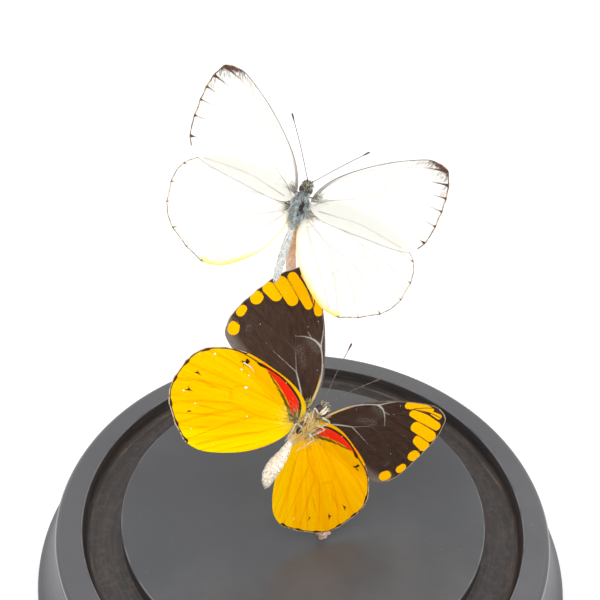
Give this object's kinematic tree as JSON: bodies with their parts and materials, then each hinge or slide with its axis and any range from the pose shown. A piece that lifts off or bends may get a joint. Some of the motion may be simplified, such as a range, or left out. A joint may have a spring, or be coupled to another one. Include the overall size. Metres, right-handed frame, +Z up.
{
  "type": "mounted butterfly",
  "caption": "Dried butterflies in flying attitude on a leaning twig, over a round dark turned base whose ring groove takes a dome; a small natural history display.",
  "frame": {"origin": "centre of the base's round underside", "axes": "+Z up; -Y faces the viewer of the display; +X is the display's right-hand side seen from the front"},
  "size_m": [0.172, 0.172, 0.1579],
  "materials": {
    "lacquered_wood": "satin black lacquer with dust and rub marks",
    "bark": "dry pinkish-brown bark",
    "glue": "dried amber glue",
    "upper_body_hair": "blue-grey hair over a white scaly abdomen",
    "upper_forewing_scales": "matte white scales with a blackish-brown tip",
    "upper_hindwing_scales": "matte white scales with a thin brown edge",
    "lower_body_hair": "cream-yellow hair with dark patches",
    "lower_forewing_scales": "matte brown-black scales with yellow spots",
    "lower_hindwing_scales": "matte yellow-orange scales with a red streak",
    "antenna_chitin": "dark brown horn-like skin",
    "leg_chitin": "dry pinkish-brown horn-like skin"
  },
  "bodies": {
    "root": {"base": "lacquered_wood", "twig": "bark", "foot_glue": "glue", "upper_body": "upper_body_hair", "upper_left_forewing": "upper_forewing_scales", "upper_left_hindwing": "upper_hindwing_scales", "upper_left_antenna": "antenna_chitin", "upper_left_foreleg": "leg_chitin", "upper_left_midleg": "leg_chitin", "upper_left_hindleg": "leg_chitin", "upper_right_forewing": "upper_forewing_scales", "upper_right_hindwing": "upper_hindwing_scales", "upper_right_antenna": "antenna_chitin", "upper_right_foreleg": "leg_chitin", "upper_right_midleg": "leg_chitin", "upper_right_hindleg": "leg_chitin", "lower_body": "lower_body_hair", "lower_left_forewing": "lower_forewing_scales", "lower_left_hindwing": "lower_hindwing_scales", "lower_left_antenna": "antenna_chitin", "lower_left_foreleg": "leg_chitin", "lower_left_midleg": "leg_chitin", "lower_left_hindleg": "leg_chitin", "lower_right_forewing": "lower_forewing_scales", "lower_right_hindwing": "lower_hindwing_scales", "lower_right_antenna": "antenna_chitin", "lower_right_foreleg": "leg_chitin", "lower_right_midleg": "leg_chitin", "lower_right_hindleg": "leg_chitin"}
  },
  "joints": []
}
